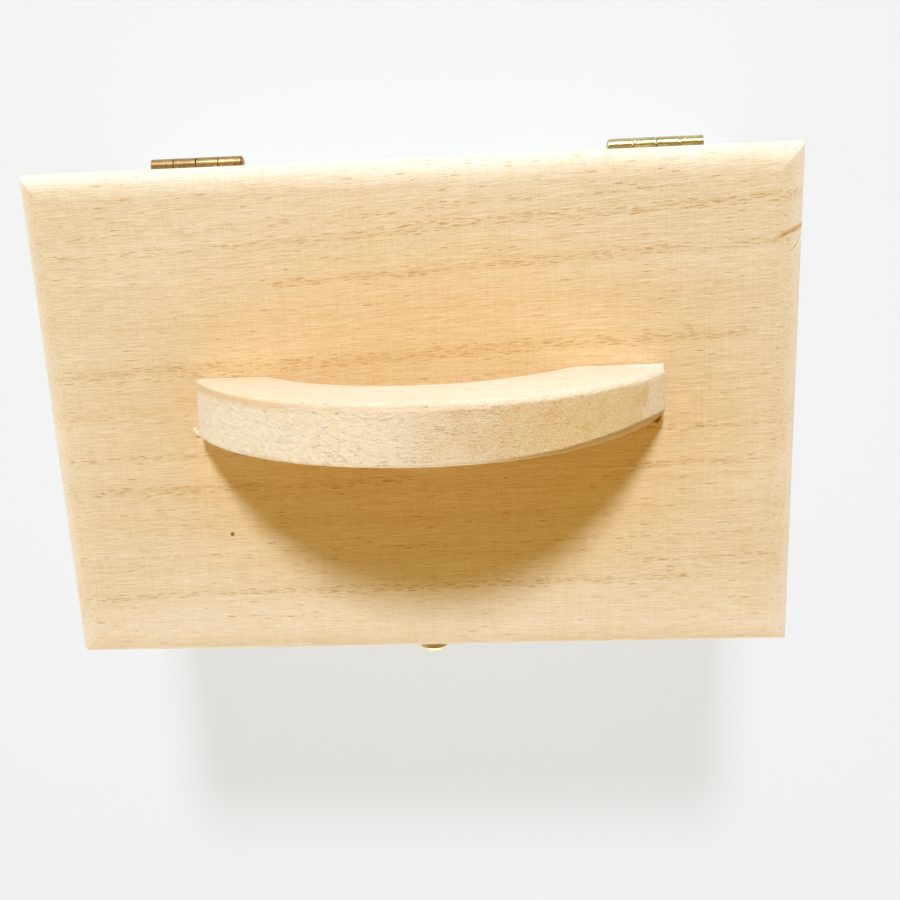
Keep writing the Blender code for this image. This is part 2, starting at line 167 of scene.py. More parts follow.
# bare sanded wood, which each board changes as it needs; sizes are (along, across, deep) in mm
woodLook = {
    "pale": (0.895, 0.815, 0.655),
    "even": (0.805, 0.685, 0.480),
    "warm": (0.720, 0.550, 0.320),
    "toneStops": (0.12, 0.5, 0.88),       # where pale, even and warm stand on the tone's scale
    "pore": (0.580, 0.365, 0.105),
    "growthWidth": 5.0,                   # between growth bands
    "growthLength": 220.0,
    "streakSize": (40.0, 1.1, 1.3),
    "fibreSize": (4.2, 0.24, 0.24),
    "patchSize": (34.0, 26.0, 30.0),
    "sandingWidth": 0.45,                 # scratches of the sanding drum run across the grain
    "sandingLength": 14.0,
    "fuzzSize": (0.32, 0.32, 0.32),
    "clumpSize": (17.0, 2.2, 2.2),
    "stretchSize": (70.0, 7.0, 7.0),
    "drift": 2.4,                         # how far the grain wanders sideways
    "poreLength": 2.7,
    "poreSpacing": 0.28,
    "poreDepth": 0.040,
    "poreStrength": 0.85,
    "finePoreStrength": 0.55,
    "poreRows": None,                     # a board's own rows, or None for rows by chance
    "chancePores": 0.36,
    "finePores": 0.26,
    "rowStain": 0.22,
    "tilt": (0.0, 0.0),                   # how far the grain leans off the board, and its change across
    "sanding": 0.5,
    "roughness": 0.62,
    "specular": 0.42,
    "seed": 0.0,
}


# place read as (along, across, deep) the board; axes names which of x, y, z each one is
def boardPlace(tree, place, look):
    parts = split(tree, place)
    along, across, deep = (parts["XYZ".index(axis)] for axis in look["axes"])
    seed, drift = look["seed"], look["drift"]
    lean = scaled(tree, across, look["tilt"][1], look["tilt"][0])
    across = number(tree, "SUBTRACT", across, times(tree, along, lean))
    straight = join(tree, along, across, deep)
    slow = vector(tree, "MULTIPLY_ADD", straight, (0.012, 0.03, 0.03), (seed, seed, seed))
    wander = addNode(tree, "ShaderNodeTexNoise", {"Vector": slow, "Scale": 1.0}).outputs["Color"]
    centred = vector(tree, "SUBTRACT", straight, (0.0, drift / 2, drift / 2))
    return vector(tree, "MULTIPLY_ADD", wander, (0.0, drift, drift), centred)


# rows of open vessels where each row says: middle and half width across, strength, start and end along
def poreRows(tree, grain, rows, chance):
    along, across, _ = split(tree, grain)
    total = chance
    for middle, halfWidth, strength, start, end in rows:
        row = times(tree, fade(tree, distance(tree, across, middle), halfWidth, 0.0, 0.0, strength),
                    fade(tree, along, start - 8.0, start + 5.0),
                    fade(tree, along, end + 8.0, end - 5.0))
        total = number(tree, "MAXIMUM", total, row)
    return total


def woodGrain(tree, place, look):
    seed = look["seed"]
    growthWidth, spacing, length = look["growthWidth"], look["poreSpacing"], look["poreLength"]
    sandingSize = (look["sandingWidth"], look["sandingLength"], look["sandingLength"])
    if look["axes"][0] != "X":
        sandingSize = (look["sandingLength"], look["sandingWidth"], look["sandingLength"])
    grain = boardPlace(tree, place, look)
    unrest = addNode(tree, "ShaderNodeTexNoise", {"Vector": place, "Scale": 1.1, "Detail": 2.0})
    ragged = vector(tree, "MULTIPLY_ADD", unrest.outputs["Color"], (1.2, 0.30, 0.30), grain)
    growthSize = (look["growthLength"], growthWidth, growthWidth * 1.6)
    parts = {
        "growth": blotches(tree, grain, growthSize, 3.0, 0.55, seed),
        "streaks": blotches(tree, grain, look["streakSize"], 3.0, 0.6, seed + 3),
        "fibres": blotches(tree, ragged, look["fibreSize"], 2.0, 0.6, seed + 5),
        "patches": blotches(tree, place, look["patchSize"], 2.0, 0.5, seed + 7),
        "sanding": blotches(tree, place, sandingSize, 2.0, 0.6, seed),
        "fuzz": blotches(tree, place, look["fuzzSize"], 2.0, 0.7, seed),
    }

    # rows of long vessels, cut open by the plane
    if look["poreRows"]:
        rows = poreRows(tree, grain, look["poreRows"], look["chancePores"] * 0.25)
    else:
        stretches = blotches(tree, grain, look["stretchSize"], 1.0, 0.5, seed + 17)
        rows = times(tree, fade(tree, parts["growth"], 0.50, 0.66, 0.02, look["chancePores"]),
                     fade(tree, stretches, 0.38, 0.56, 0.25, 1.0))
    clumps = blotches(tree, grain, look["clumpSize"], 2.0, 0.5, seed + 11)
    density = times(tree, rows, fade(tree, clumps, 0.30, 0.52, 0.35, 2.1))
    shape, draw, depth = specks(tree, ragged, (length, spacing, spacing), 0.28, 0.50, seed)
    parts["pores"] = times(tree, shape, number(tree, "LESS_THAN", draw, density),
                           scaled(tree, depth, 0.6, 0.4))
    fineSize = (length * 0.6, spacing * 0.75, spacing * 0.75)
    shape, draw, depth = specks(tree, ragged, fineSize, 0.05, 0.24, seed + 2)
    density = scaled(tree, rows, 0.5, look["finePores"] * 0.4)
    parts["finePores"] = times(tree, shape, number(tree, "LESS_THAN", draw, density),
                               times(tree, depth, 0.55))
    parts["rows"] = rows
    return parts


def woodTone(tree, parts, look):
    weights = {"growth": 0.5, "streaks": 0.35, "fibres": 1.6, "patches": 0.45,
               "sanding": 0.85 * look["sanding"], "fuzz": 0.6}
    tone = 0.5
    for name, weight in weights.items():
        tone = number(tree, "ADD", scaled(tree, parts[name], weight, -weight / 2), tone)
    return tone


def woodColour(tree, parts, look):
    stops = list(zip(look["toneStops"], (look["pale"], look["even"], look["warm"])))
    colour = ramp(tree, woodTone(tree, parts, look), stops)
    stain = times(tree, fade(tree, parts["rows"], 0.1, 0.9), look["rowStain"])
    colour = tint(tree, stain, colour, look["warm"])
    colour = tint(tree, times(tree, parts["finePores"], look["finePoreStrength"]), colour, look["pore"])
    return tint(tree, times(tree, parts["pores"], look["poreStrength"]), colour, look["pore"])


def woodHeight(tree, parts, look):
    height = times(tree, parts["fibres"], 0.11)
    height = scaled(tree, parts["streaks"], 0.08, height)
    height = scaled(tree, parts["sanding"], 0.05 * look["sanding"], height)
    height = scaled(tree, parts["fuzz"], 0.03, height)
    height = scaled(tree, parts["finePores"], -look["poreDepth"] * 0.5, height)
    return scaled(tree, parts["pores"], -look["poreDepth"], height)


def finishWood(tree, shader, parts, look, colour, height):
    tree.links.new(colour, shader.inputs["Base Color"])
    rough = scaled(tree, parts["fibres"], 0.18, look["roughness"] - 0.09)
    rough = scaled(tree, parts["pores"], 0.2, rough, clamp=True)
    tree.links.new(rough, shader.inputs["Roughness"])
    shader.inputs["Specular IOR Level"].default_value = look["specular"]
    pressIn(tree, shader, height)


def woodFinish(name, **changes):
    look = {**woodLook, **changes}
    material, tree, shader, place = newFinish(name)
    parts = woodGrain(tree, place, look)
    finishWood(tree, shader, parts, look, woodColour(tree, parts, look), woodHeight(tree, parts, look))
    return material


lidLook = {
    "axes": "XYZ",
    "tilt": (0.033, 0.00033),
    "poreRows": [(-37.6, 1.5, 1.0, -28, 28), (-37.6, 1.2, 0.5, -74, 61), (-33.5, 0.9, 0.6, 45, 75),
                 (-28.0, 0.8, 0.3, -74, 75), (-12.6, 1.6, 0.95, -74, -4), (-12.6, 1.2, 0.6, 45, 75),
                 (-5.0, 0.9, 0.5, -74, 75), (13.9, 2.4, 0.7, -72, 67), (31.3, 1.2, 1.1, -25, 74),
                 (39.6, 1.5, 1.0, -15, 77), (39.6, 1.2, 0.5, -74, -15), (43.2, 0.8, 0.35, -74, 75)],
    "chancePores": 0.09,
    "finePores": 0.22,
    "pale": (0.895, 0.825, 0.655),
    "even": (0.825, 0.725, 0.512),
    "warm": (0.755, 0.605, 0.360),
    "seed": 4.0,
    # the edges' paler colours: partly sanded wood, partly painted light
    "rim": {"pale": (0.955, 0.915, 0.820), "even": (0.915, 0.840, 0.690), "warm": (0.840, 0.720, 0.520)},
    "rimHeight": (77.1, 74.6),            # where the paler edge (partly sanded, partly painted light) starts and is whole, from the top down
    "rimFoot": (66.35, 67.0),             # it ends just over the underside
    "rimFront": (-31.0, -52.0, 0.95),     # painted light: the paler edge reaches further in along the front, which catches more light
    "rimStrength": 0.9,
    "warmAndShadowMiddle": (3.0, 1.0),             # middle and reach of the warmer middle of the lid: partly the board's tone, partly painted shade under the handle's shadow
    "warmAndShadowReach": (59.0, 36.0),
    "warmAndShadowTint": (0.97, 0.815, 0.595),
    "knot": {"spot": (-41.5, -24.3), "radius": 0.32, "edge": 0.25, "strength": 1.0,
             "colour": (0.30, 0.15, 0.04)},
    "paleFleck": {"spot": (36.3, -27.5), "radius": 0.45, "edge": 0.3, "strength": 0.7,
                  "colour": (0.93, 0.82, 0.60)},
    "tear": (72.6, 34.7, 79.8, 37.3),     # start and end of the torn grain over the right edge
    "tearWidth": (0.75, 0.25),
    "tearFoot": (71.0, 72.6),
    "tearColour": (0.66, 0.40, 0.12),
    "tearStrength": 0.75,
}


# a small round mark on the lid's top
def paintFleck(tree, place, colour, fleck):
    gap = vector(tree, "SUBTRACT", place, (*fleck["spot"], lidHigh.z / mm))
    gap = addNode(tree, "ShaderNodeVectorMath", {"Vector": gap}, operation="LENGTH").outputs["Value"]
    amount = fade(tree, gap, fleck["radius"] + fleck["edge"], fleck["radius"])
    return tint(tree, times(tree, amount, fleck["strength"]), colour, fleck["colour"])


def lidFinish():
    look = {**woodLook, **lidLook}
    material, tree, shader, place = newFinish("sandedLidBoard")
    parts = woodGrain(tree, place, look)
    x, y, height = split(tree, place)
    colour = woodColour(tree, parts, look)
    colour = paintFleck(tree, place, colour, look["knot"])
    colour = paintFleck(tree, place, colour, look["paleFleck"])

    # the lid is warmer towards its middle: partly the board's tone, partly painted shade that deepens the
    # handle's cast shadow
    away = scaled(tree, parts["patches"], 1.1, -0.55)
    for value, middle, reach in zip((x, y), look["warmAndShadowMiddle"], look["warmAndShadowReach"]):
        part = number(tree, "DIVIDE", number(tree, "SUBTRACT", value, middle), reach)
        away = number(tree, "ADD", away, number(tree, "POWER", part, 2.0))
    colour = tint(tree, fade(tree, away, 1.9, 0.0), colour, look["warmAndShadowTint"], "MULTIPLY")

    # its rounded edges are paler than the flat: partly sanded paler, partly painted light where the edges
    # catch more light
    rim = fade(tree, scaled(tree, parts["patches"], 1.6, height), *look["rimHeight"])
    frontStart, frontEnd, frontStrength = look["rimFront"]
    # painted light: a paler strip along the front of the flat
    rim = number(tree, "MAXIMUM", rim, fade(tree, y, frontStart, frontEnd, 0.0, frontStrength))
    rim = times(tree, rim, fade(tree, height, *look["rimFoot"]), look["rimStrength"])
    colour = tint(tree, rim, colour, woodColour(tree, parts, {**look, **look["rim"]}))

    # torn grain at the nick in the right edge
    startX, startY, endX, endY = look["tear"]
    slope = (endY - startY) / (endX - startX)
    wander = scaled(tree, blotches(tree, place, (1.1, 0.8, 0.9), 3.0, 0.7, 31.0), 1.3, -0.65)
    offLine = number(tree, "SUBTRACT", y, scaled(tree, x, slope, startY - slope * startX))
    offLine = number(tree, "ABSOLUTE", number(tree, "ADD", offLine, wander))
    torn = times(tree, fade(tree, offLine, *look["tearWidth"]), fade(tree, x, startX, startX + 3.0),
                 fade(tree, y, endY + 1.5, endY + 0.8), fade(tree, height, *look["tearFoot"]))
    colour = tint(tree, times(tree, torn, look["tearStrength"]), colour, look["tearColour"])
    finishWood(tree, shader, parts, look, colour, woodHeight(tree, parts, look))
    return material


lidShape = {
    "rimHeight": 4.0,                     # the flat part of the edge, under the quarter round
    "roundSteps": 14,
    "underEase": 0.3,
    "corners": (1.6, 0.6, 0.9, 0.5),      # front left, front right, back right, back left
    "mitreRadius": 0.22,
    "cornerSteps": 5,
    "sideSteps": (64, 42),
    "wobble": 0.10,
    "wobbleLength": 14.0,
}


# a rectangle with rounded corners, counter-clockwise from the front left corner
def roundedOutline(low, high, inset, radii, cornerSteps, sideSteps):
    points = []
    corners = ((low.x, low.y, 180), (high.x, low.y, 270), (high.x, high.y, 0), (low.x, high.y, 90))
    for (x, y, firstAngle), radius in zip(corners, radii):
        inX = 1 if x < (low.x + high.x) / 2 else -1
        inY = 1 if y < (low.y + high.y) / 2 else -1
        centre = Vector((x + inX * (inset + radius), y + inY * (inset + radius)))
        for step in range(cornerSteps + 1):
            angle = math.radians(firstAngle + 90 * step / cornerSteps)
            points.append(centre + radius * Vector((math.cos(angle), math.sin(angle))))
    outline = []
    stride = cornerSteps + 1
    for index in range(4):
        outline += points[index * stride:(index + 1) * stride]
        start, end = outline[-1], points[((index + 1) * stride) % len(points)]
        steps = sideSteps[index % 2]
        outline += [start.lerp(end, step / steps) for step in range(1, steps)]
    return outline


def skin(form, rings):
    for lower, upper in zip(rings, rings[1:]):
        for index in range(len(lower)):
            after = (index + 1) % len(lower)
            form.faces.new((lower[index], lower[after], upper[after], upper[index]))


def pieceFrom(name, form, finish, sharpAngle=35.0):
    bmesh.ops.recalc_face_normals(form, faces=form.faces)
    mesh = bpy.data.meshes.new(name)
    form.to_mesh(mesh)
    form.free()
    mesh.shade_smooth()
    mesh.set_sharp_from_angle(angle=math.radians(sharpAngle))
    piece = bpy.data.objects.new(name, mesh)
    scene.collection.objects.link(piece)
    if finish:
        mesh.materials.append(finish)
    return piece


def shapeWithModifiers(piece):
    shape = piece.evaluated_get(bpy.context.evaluated_depsgraph_get())
    mesh = bpy.data.meshes.new_from_object(shape)
    piece.modifiers.clear()
    return mesh


def carve(piece, cutter, sharpAngle=35.0):
    boolean = piece.modifiers.new("carve", "BOOLEAN")
    boolean.object = cutter
    boolean.solver = "EXACT"
    carved, worn = shapeWithModifiers(piece), piece.data
    piece.data = carved
    bpy.data.meshes.remove(worn)
    bpy.data.objects.remove(cutter, do_unlink=True)
    carved.set_sharp_from_angle(angle=math.radians(sharpAngle))


def addBlock(form, low, high):
    made = bmesh.ops.create_cube(form, size=1.0)["verts"]
    bmesh.ops.scale(form, vec=high - low, verts=made)
    bmesh.ops.translate(form, vec=(low + high) / 2, verts=made)


def addCone(form, centre, lowRadius, highRadius, length, axis="Z"):
    turn = {"Z": Matrix.Identity(4), "Y": Matrix.Rotation(-math.pi / 2, 4, "X"),
            "X": Matrix.Rotation(math.pi / 2, 4, "Y")}[axis]
    bmesh.ops.create_cone(form, cap_ends=True, segments=28, radius1=lowRadius, radius2=highRadius,
                          depth=length, matrix=Matrix.Translation(centre) @ turn)


# a thin wedge whose sharp edge runs from start to end, its open side facing out
def addBlade(form, start, end, out, depth, halfWidth):
    side = (end - start).cross(out).normalized() * halfWidth
    reach = out.normalized() * depth
    ends = []
    for point in (start, end):
        corners = (point, point + reach + side, point + reach - side)
        ends.append([form.verts.new(corner) for corner in corners])
    form.faces.new(ends[0])
    form.faces.new(ends[1][::-1])
    for index in range(3):
        after = (index + 1) % 3
        form.faces.new((ends[0][index], ends[0][after], ends[1][after], ends[1][index]))


# room for the hardware, in mm
fitLook = {
    "gap": 0.3,
    "mortiseDepth": 1.15,                 # a leaf's bed, cut up into the lid's underside
    "mortiseRunOut": 5.0,                 # and open to the back
    "reliefRadius": 1.8,                  # the hollow round a hinge's barrel
    "reliefSetback": 1.5,
    "reliefHeight": 66.15,
    "reliefSpare": 2.0,
    "nailHole": 0.75,
    "screwHole": 1.8,
    "countersink": (3.9, 1.3, 3.0, 0.6),  # wide radius, narrow radius, depth and rise of its middle
    "studHole": (1.2, 8.8, 2.0),          # radius, depth and how far in its middle lies
}


# the middle of a piece, and how far it reaches along one axis
def middleOf(node, axis):
    low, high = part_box(node)
    return (low + high) / 2, (high - low)["xyz".index(axis)]


def lidPockets():
    fit = {name: value * mm for name, value in fitLook.items() if not isinstance(value, tuple)}
    gap = fit["gap"]
    wide, thin = bmesh.new(), bmesh.new()
    for side in ("left", "right"):
        low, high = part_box(side + "_hinge_lid_leaf")
        addBlock(wide, Vector((low.x - gap, low.y - gap, low.z - fit["mortiseRunOut"])),
                 Vector((high.x + gap, high.y + fit["mortiseRunOut"], lidLow.z + fit["mortiseDepth"])))
        barrel = Vector(((low.x + high.x) / 2, high.y - fit["reliefSetback"], fit["reliefHeight"]))
        addCone(thin, barrel, fit["reliefRadius"], fit["reliefRadius"],
                high.x - low.x + fit["reliefSpare"], "X")
        for hand in ("left", "right"):
            nail, length = middleOf(side + "_hinge_lid_nail_" + hand, "z")
            addCone(thin, nail, fit["nailHole"], fit["nailHole"], length + 2 * gap)
        screw, length = middleOf("handle_screw_" + side, "z")
        addCone(wide, screw, fit["screwHole"], fit["screwHole"], length + gap)
        wideRadius, narrowRadius, depth, rise = (value * mm for value in fitLook["countersink"])
        sink = Vector((screw.x, screw.y, screw.z - length / 2 + rise))
        addCone(thin, sink, wideRadius, narrowRadius, depth)
    stud = middleOf("catch_stud", "z")[0]
    radius, depth, inward = (value * mm for value in fitLook["studHole"])
    addCone(wide, Vector((stud.x, lidLow.y + inward, stud.z)), radius, radius, depth, "Y")
    return [pieceFrom("lidPocketsWide", wide, None), pieceFrom("lidPocketsThin", thin, None)]


# a short chisel slip over the rounded right edge, and the split that runs off it along the grain;
# each blade says: start, end, the way its open side faces, and half its width
nickLook = {
    "depth": 3.0,
    "blades": [((76.6, 32.2, 75.1), (79.9, 35.2, 71.6), (0.72, 0.0, 0.70), 1.0),
               ((74.6, 35.3, 75.98), (77.4, 36.5, 75.2), (0.40, -0.20, 0.84), 0.9),
               ((76.6, 36.0, 75.55), (79.8, 37.5, 72.35), (0.60, -0.28, 0.74), 0.8)],
}


def lidNick():
    form = bmesh.new()
    depth = nickLook["depth"] * mm
    for start, end, out, halfWidth in nickLook["blades"]:
        addBlade(form, Vector(start) * mm, Vector(end) * mm, Vector(out), depth, halfWidth * mm)
    return pieceFrom("lidNickBlades", form, None)


def buildLid(finish):
    shape = lidShape
    low, high = lidLow, lidHigh
    form = bmesh.new()
    underEase, length = shape["underEase"] * mm, shape["wobbleLength"] * mm
    levels = [(underEase, low.z), (0.0, low.z + underEase)]
    roundRadius = high.z - low.z - shape["rimHeight"] * mm
    for step in range(shape["roundSteps"] + 1):
        angle = math.pi / 2 * step / shape["roundSteps"]
        levels.append((roundRadius * (1 - math.cos(angle)), high.z - roundRadius * (1 - math.sin(angle))))
    rings = []
    for inset, z in levels:
        radii = [max(corner * mm - inset, shape["mitreRadius"] * mm) for corner in shape["corners"]]
        outline = roundedOutline(low, high, inset, radii, shape["cornerSteps"], shape["sideSteps"])
        sink = shape["wobble"] * mm * math.sin(math.pi * min(1.0, inset / roundRadius))
        ring = []
        for point in outline:
            # hand sanding leaves the rounded edges slightly uneven
            dip = sink * (0.5 + 0.5 * noise.noise(Vector((point.x / length, point.y / length, 3.1))))
            ring.append(form.verts.new((point.x, point.y, z - dip)))
        rings.append(ring)
    skin(form, rings)
    form.faces.new(rings[0][::-1])
    form.faces.new(rings[-1])
    lid = pieceFrom("lidBoard", form, finish)
    for cutter in lidPockets() + [lidNick()]:
        carve(lid, cutter)
    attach(lid, "lid")
    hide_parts("lid_board")
    return lid


handleShape = {
    "endHeight": 3.0,
    "gapWidth": 63.0,
    "gapRise": 14.4,
    "gapShift": -1.8,                     # the finger gap sits a little left of the middle
    "outerSteps": 150,
    "innerSteps": 70,
    "footSteps": 16,
    "endSteps": 5,
    "acrossSteps": 22,
    "easeSteps": 5,
    "backEase": (0.2, 1.05, 1.8),         # left end, middle and right end of the edge next to the hinges
    "frontEase": (0.45, 2.9, 3.0),        # left end, right end and how late the lower front edge widens
    "gapEase": 0.6,
    "footEase": 0.12,
    "leftEndEase": 0.5,
    "unevenEase": 0.18,
    "leftSkew": 0.7,                      # the left end isn't sawn quite square
    "wobble": 0.12,
    "wobbleSize": (6.0, 3.5),             # along and across the outer face
    "toolMarks": 0.55,
    "toolMarkSize": (1.3, 0.8),
    "toolMarkBand": (3.2, 2.0, 1.4, 0.7), # where they start, are whole, thin out and end, from the back face
}

handleLook = {
    "axes": "XZY",
    "tilt": (-0.03, 0.0004),
    "pale": (0.920, 0.830, 0.660),
    "even": (0.880, 0.745, 0.545),
    "warm": (0.840, 0.675, 0.450),
    "pore": (0.480, 0.300, 0.115),
    "growthWidth": 4.5,
    "poreLength": 2.6,
    "poreSpacing": 0.32,
    "chancePores": 0.12,
    "finePores": 0.15,
    "sanding": 0.25,
    "roughness": 0.66,
    "seed": 9.0,
    "outerHeight": (88.0, 93.0),          # the outer face counts as sawn from this height up
    "outerEnds": (3.0, 34.0, 40.0),       # and beyond this far from its middle
    "sawnPale": (0.990, 0.960, 0.830),
    "paleAndLitLeft": (26.0, -14.0),            # where the pale left part, partly painted light, starts and is whole
    "paleAndLitStrength": 0.90,
    # partly painted shade: the tan on the outer face's right also stands for its less lit side
    "sawnTanAndShade": (0.850, 0.620, 0.250),
    "tanAndShadedRight": (0.0, 34.0),
    "tanAndShadedStrength": 0.80,
    "sawnOrange": (0.800, 0.510, 0.140),
    "orangeSize": (5.5, 3.5, 5.0),
    "orangeStrength": 0.75,
    "band": (2.6, 1.2, 0.4, -0.2),        # the eased edge next to the hinges, from the back face
    "bandTan": (0.80, 0.60, 0.31),
    "bandTanStrength": 0.60,
    "bandPaleStrength": 0.25,
    # painted shade: the lower front chamfer faces away from the window and is darkened in its colour
    "chamferShade": (0.52, 0.31, 0.075),
    "chamferShadeStrength": 0.90,
    "endFacet": (44.0, 48.0, 2.4, 3.6),   # a paler facet at the right end: start and end along, then across
    "endFacetStrength": 0.6,
    "scratches": ((-15.4, 4.8), (-11.6, 5.4)),     # x and reach of two pale marks across the bow
    "scratchMiddle": 5.2,
    "scratchColour": (0.93, 0.84, 0.66),
    "scratchStrength": 0.6,
    "rippleSize": (0.50, 1.5, 1.5),
    "furrow": (0.780, 0.610, 0.270),
    "furrowStrength": (0.08, 0.42),       # right and left
    "sawFuzzSize": (0.55, 0.32, 0.40),
    "fluffSize": (0.42, 0.24, 0.30),
    "fluffPale": (1.0, 0.92, 0.72),
    "fluffTan": (0.76, 0.55, 0.21),
    "tearSize": (1.7, 0.45, 0.8),
    "tearColour": (0.55, 0.34, 0.12),
}


def handleFinish():
    look = {**woodLook, **handleLook}
    material, tree, shader, place = newFinish("sawnHandleBow")
    parts = woodGrain(tree, place, look)
    colour = woodColour(tree, parts, look)
    x, y, z = split(tree, place)
    low, high = handleLow / mm, handleHigh / mm
    strayX = blotches(tree, place, (7.0, 5.0, 7.0), 3.0, 0.6, 2.0)
    strayX = number(tree, "ADD", x, scaled(tree, strayX, 26.0, -13.0))
    thinStray = scaled(tree, blotches(tree, place, (2.4, 1.0, 2.0), 3.0, 0.6, 5.0), 1.2, -0.6)
    strayY = number(tree, "ADD", y, thinStray)

    def paint(over, *amounts):
        return tint(tree, times(tree, *amounts), colour, over)

    # the sawn outer face is everything between the two flat faces: pale at the left, tan at the right,
    # partly the sawn wood's colour and partly painted light and shade, as its left catches more light than
    # its right
    sawn = times(tree, fade(tree, strayY, high.y - 0.7, high.y - 1.6),
                 fade(tree, strayY, low.y, low.y + 0.3))
    outward = fade(tree, z, *look["outerHeight"])
    endsMiddle, endsStart, endsWhole = look["outerEnds"]
    ends = fade(tree, distance(tree, x, endsMiddle), endsStart, endsWhole)
    outer = times(tree, sawn, number(tree, "MAXIMUM", outward, ends))
    colour = paint(look["sawnPale"], outer, fade(tree, strayX, *look["paleAndLitLeft"]), look["paleAndLitStrength"])
    tanAndShadedRight = times(tree, outer, fade(tree, strayX, *look["tanAndShadedRight"]))
    colour = paint(look["sawnTanAndShade"], tanAndShadedRight, look["tanAndShadedStrength"])
    orange = fade(tree, blotches(tree, place, look["orangeSize"], 3.0, 0.6, 7.0), 0.52, 0.66)
    colour = paint(look["sawnOrange"], tanAndShadedRight, orange, look["orangeStrength"])

    # the eased edge next to the hinges: tan at the left end, pale and fuzzy further right
    start, whole, thinning, end = (high.y - inward for inward in look["band"])
    band = times(tree, fade(tree, strayY, start, whole), fade(tree, strayY, end, thinning))
    colour = paint(look["bandTan"], band, fade(tree, strayX, -8.0, -30.0, 0.0, look["bandTanStrength"]))
    colour = paint(look["sawnPale"], band, fade(tree, strayX, 0.0, 20.0, 0.0, look["bandPaleStrength"]))

    # painted shade on the lower front edge's chamfer, which follows its shape, and the paler facet at the
    # right end
    narrow, wide, lateness = handleShape["frontEase"]
    middleX = (low.x + high.x) / 2
    toRight = fade(tree, x, middleX - 0.1 * (high.x - middleX), high.x)
    chamferTop = scaled(tree, number(tree, "POWER", toRight, lateness), wide - narrow, narrow + low.y)
    overChamfer = number(tree, "SUBTRACT", scaled(tree, thinStray, 0.4, y), chamferTop)
    chamferShade = times(tree, fade(tree, overChamfer, 0.35, -0.15), fade(tree, x, 6.0, 30.0))
    alongStart, alongWhole, acrossStart, acrossWhole = look["endFacet"]
    colour = paint(look["sawnPale"], fade(tree, strayX, alongStart, alongWhole),
                   fade(tree, strayY, low.y + acrossStart, low.y + acrossWhole), look["endFacetStrength"])
    for markX, reach in look["scratches"]:
        line = fade(tree, distance(tree, scaled(tree, thinStray, 0.4, x), markX), 0.42, 0.12)
        inside = distance(tree, strayY, look["scratchMiddle"])
        inside = fade(tree, inside, reach * 0.5, reach * 0.35)
        colour = paint(look["scratchColour"], line, inside, outward, look["scratchStrength"])

    # saw ripples, slanted and close together over the left third, and torn fibres towards the right
    slant = join(tree, scaled(tree, y, 2.0, x), scaled(tree, y, -0.5, x), z)
    ripples = blotches(tree, slant, look["rippleSize"], 1.5, 0.5, 3.0)
    sawFuzz = blotches(tree, place, look["sawFuzzSize"], 3.0, 0.7, 8.0)
    fluff = blotches(tree, place, look["fluffSize"], 3.0, 0.7, 15.0)
    tears = fade(tree, blotches(tree, place, look["tearSize"], 3.0, 0.65, 12.0), 0.58, 0.72)
    colour = paint(look["furrow"], fade(tree, ripples, 0.46, 0.60),
                   fade(tree, strayX, 15.0, -20.0, *look["furrowStrength"]), outer)
    rougher = times(tree, outer, fade(tree, strayX, -25.0, 15.0, 0.30, 1.0))
    rougher = number(tree, "MAXIMUM", rougher, times(tree, band, fade(tree, strayX, -10.0, 15.0, 0.0, 0.7)))
    colour = paint(look["fluffPale"], fade(tree, fluff, 0.50, 0.62, 0.0, 0.65), rougher)
    colour = paint(look["fluffTan"], fade(tree, fluff, 0.47, 0.38, 0.0, 0.60), rougher)
    colour = paint(look["tearColour"], tears, number(tree, "MAXIMUM", outer, times(tree, band, 0.8)),
                   fade(tree, strayX, -30.0, 20.0, 0.05, 0.4))
    colour = paint(look["chamferShade"], chamferShade, look["chamferShadeStrength"])

    rise = times(tree, ripples, fade(tree, strayX, 10.0, -30.0, 0.04, -0.22))
    rise = scaled(tree, sawFuzz, fade(tree, strayX, -20.0, 20.0, 0.08, 0.24), rise)
    rise = scaled(tree, fluff, fade(tree, strayX, -20.0, 20.0, 0.08, 0.20), rise)
    rise = scaled(tree, tears, -0.14, rise)
    height = scaled(tree, rise, outer, woodHeight(tree, parts, look))
    finishWood(tree, shader, parts, look, colour, height)
    return material


def chordArc(halfChord, rise, base, steps):
    radius = (halfChord ** 2 + rise ** 2) / (2 * rise)
    side = math.asin(halfChord / radius)
    angles = [side * (2 * step / steps - 1) for step in range(steps + 1)]
    return [(radius * math.sin(a), base + rise - radius + radius * math.cos(a)) for a in angles]


# the bow seen from the front, as (x, z, stretch) from its middle and its foot line
def bowOutline(halfLength, rise):
    shape = handleShape
    endHeight, halfGap, shift = shape["endHeight"] * mm, shape["gapWidth"] / 2 * mm, shape["gapShift"] * mm
    outer = chordArc(halfLength, rise - endHeight, endHeight, shape["outerSteps"])
    inner = chordArc(halfGap, shape["gapRise"] * mm, 0.0, shape["innerSteps"])[::-1]
    foot = halfLength - halfGap
    steps = shape["endSteps"]
    outline = [(-halfLength, endHeight * step / steps, "end") for step in range(steps)]
    outline += [(x, z, "outer") for x, z in outer]
    outline += [(halfLength, endHeight * (1 - step / steps), "end") for step in range(1, steps)]
    steps = shape["footSteps"]
    outline += [(halfLength - (foot - shift) * step / steps, 0.0, "foot") for step in range(steps)]
    outline += [(x + shift, z, "inner") for x, z in inner]
    outline += [(-halfGap + shift - (foot + shift) * step / steps, 0.0, "foot") for step in range(1, steps)]
    return outline


def softStep(value, start, end):
    t = min(1.0, max(0.0, (value - start) / (end - start)))
    return t * t * (3 - 2 * t)


